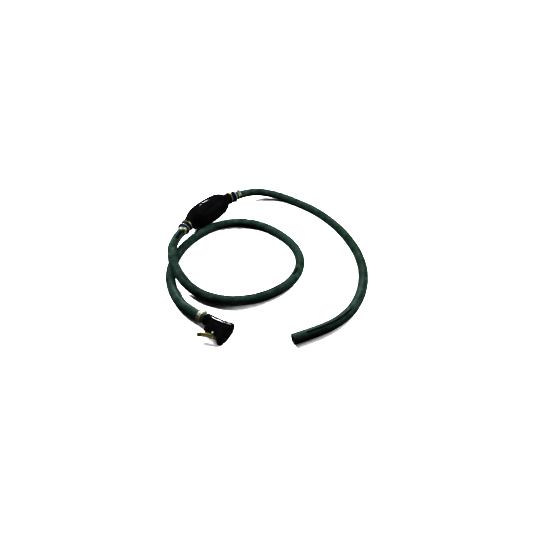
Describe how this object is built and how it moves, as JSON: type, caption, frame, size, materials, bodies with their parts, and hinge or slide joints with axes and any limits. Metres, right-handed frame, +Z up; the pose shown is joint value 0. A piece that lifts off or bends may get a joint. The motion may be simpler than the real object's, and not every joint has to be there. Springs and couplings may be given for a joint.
{
  "type": "primer bulb hose assembly",
  "caption": "Fuel hose with an in-line squeeze primer bulb, an open cut end and a twin-socket quick connector with a sprung thumb lever.",
  "frame": {"origin": "on the floor, under the middle of the primer bulb", "axes": "+X along the bulb towards the tank hose, +Z up; the connector's sockets face -Y"},
  "size_m": [0.4191, 0.4051, 0.0516],
  "materials": {
    "hose_rubber": "dark grey-green, soft sheen",
    "bulb_rubber": "black, glossy",
    "clamp_steel": "yellow-plated, worn",
    "band_wire": "dull yellow",
    "anodised_aluminium": "satin, bluish",
    "spring_steel": "bright wire",
    "connector_plastic": "black, glossy",
    "brass": "turned",
    "seal_rubber": "black, smooth",
    "lever_steel": "yellow-green passivated",
    "pin_steel": "ground",
    "valve_plastic": "natural, satin"
  },
  "bodies": {
    "root": {"primer_bulb": "bulb_rubber", "inlet_valve_housing": "anodised_aluminium", "inlet_neck_band": "band_wire", "inlet_valve_seat": "valve_plastic", "inlet_stem_guide": "valve_plastic", "inlet_valve_spring": "spring_steel", "inlet_hose_clamp": "clamp_steel", "outlet_valve_housing": "anodised_aluminium", "outlet_neck_band": "band_wire", "outlet_valve_seat": "valve_plastic", "outlet_stem_guide": "valve_plastic", "outlet_valve_spring": "spring_steel", "outlet_hose_clamp": "clamp_steel", "tank_hose": "hose_rubber", "engine_hose": "hose_rubber", "connector_body": "connector_plastic", "connector_hose_barb": "brass", "connector_hose_clamp": "clamp_steel", "fuel_socket_sleeve": "brass", "fuel_socket_oring": "seal_rubber", "connector_valve_seat": "valve_plastic", "connector_stem_guide": "valve_plastic", "connector_spring": "spring_steel", "guide_socket_bush": "brass", "latch_pivot_pin": "pin_steel", "latch_spring": "spring_steel"},
    "inlet_poppet": {"inlet_poppet": "valve_plastic", "inlet_poppet_seal": "seal_rubber"},
    "outlet_poppet": {"outlet_poppet": "valve_plastic", "outlet_poppet_seal": "seal_rubber"},
    "plunger": {"connector_plunger": "valve_plastic"},
    "latch": {"latch_lever": "lever_steel"}
  },
  "joints": [
    {"name": "inlet_poppet_slide", "type": "slide", "parent": "root", "child": "inlet_poppet", "axis": [-0.9599, 0.2753, 0.0523], "range_m": [0, 0.0025], "stiffness_N_per_m": 40, "springref_m": -0.002, "deforming": ["inlet_valve_spring"]},
    {"name": "outlet_poppet_slide", "type": "slide", "parent": "root", "child": "outlet_poppet", "axis": [-0.9374, -0.3412, 0.0698], "range_m": [0, 0.0025], "stiffness_N_per_m": 40, "springref_m": -0.002, "deforming": ["outlet_valve_spring"]},
    {"name": "plunger_slide", "type": "slide", "parent": "root", "child": "plunger", "axis": [-0.1219, 0.9925, 0], "range_m": [0, 0.004], "stiffness_N_per_m": 400, "springref_m": -0.003, "deforming": ["connector_spring"]},
    {"name": "latch_hinge", "type": "hinge", "parent": "root", "child": "latch", "pos_m": [-0.23128, -0.22508, 0.012], "axis": [0, 0, -1], "range_deg": [0, 12], "stiffness_Nm_per_rad": 0.08, "springref_deg": -17.19, "deforming": ["latch_spring"]}
  ]
}
